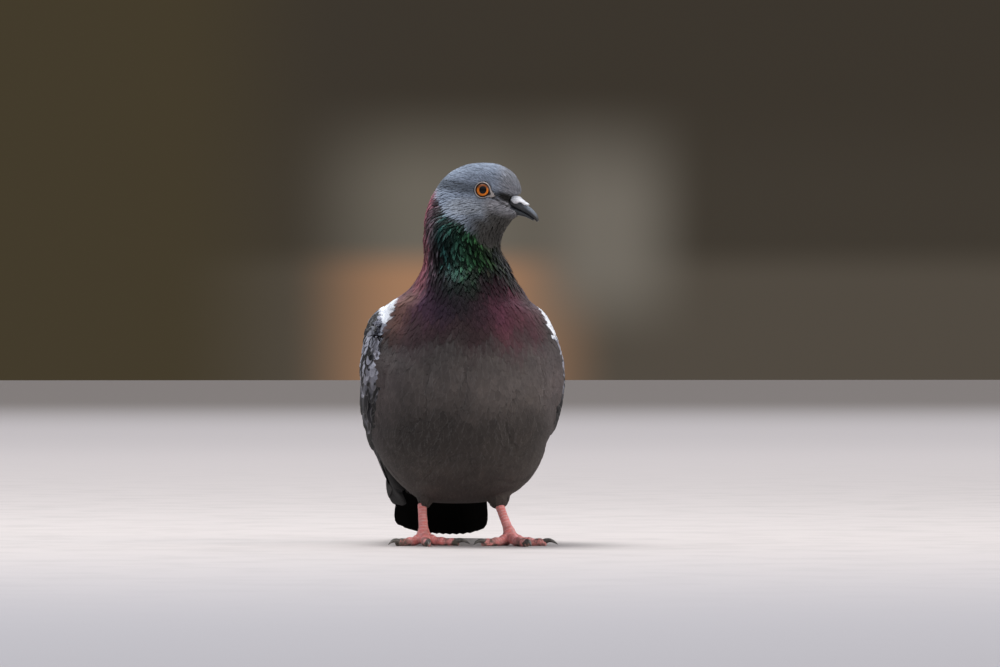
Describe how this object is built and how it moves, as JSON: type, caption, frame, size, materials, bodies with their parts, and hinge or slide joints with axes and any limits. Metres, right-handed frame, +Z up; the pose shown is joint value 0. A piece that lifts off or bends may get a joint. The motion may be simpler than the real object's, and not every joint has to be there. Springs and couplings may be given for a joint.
{
  "type": "pigeon",
  "caption": "Life-size still model of a feral pigeon standing upright on both feet, its head turned to its left.",
  "frame": {"origin": "on the floor, under the middle of the bounding box", "axes": "the breast faces -Y, the tail points to +Y, +X is the bird's left side, +Z is up; lengths in metres"},
  "size_m": [0.1106, 0.2236, 0.2033],
  "materials": {
    "head_feathers": "soft matt feather",
    "neck_feathers": "glossy iridescent feather, green and purple",
    "breast_feathers": "soft matt feather",
    "wing_feathers": "smooth vaned feather, grey with black marks",
    "flight_feathers": "smooth vaned feather, black",
    "tail_feathers": "smooth vaned feather, black",
    "leg_skin": "scaly coral red skin",
    "claw": "worn dark horn",
    "bill": "smooth dark horn",
    "cere": "powdery pale skin",
    "eye": "wet clear gloss over an orange iris"
  },
  "bodies": {
    "root": {"belly": "breast_feathers", "bill_lower": "bill", "bill_upper": "bill", "breast": "breast_feathers", "cere": "cere", "claw_left_hind": "claw", "claw_left_inner": "claw", "claw_left_middle": "claw", "claw_left_outer": "claw", "claw_right_hind": "claw", "claw_right_inner": "claw", "claw_right_middle": "claw", "claw_right_outer": "claw", "eye_left": "eye", "eye_right": "eye", "head": "head_feathers", "neck": "neck_feathers", "rump": "breast_feathers", "shank_left": "leg_skin", "shank_right": "leg_skin", "tail": "tail_feathers", "thigh_left": "breast_feathers", "thigh_right": "breast_feathers", "toe_left_hind": "leg_skin", "toe_left_inner": "leg_skin", "toe_left_middle": "leg_skin", "toe_left_outer": "leg_skin", "toe_right_hind": "leg_skin", "toe_right_inner": "leg_skin", "toe_right_middle": "leg_skin", "toe_right_outer": "leg_skin", "wing_left_coverts": "wing_feathers", "wing_left_primaries": "flight_feathers", "wing_left_secondaries": "flight_feathers", "wing_right_coverts": "wing_feathers", "wing_right_primaries": "flight_feathers", "wing_right_secondaries": "flight_feathers"}
  },
  "joints": []
}
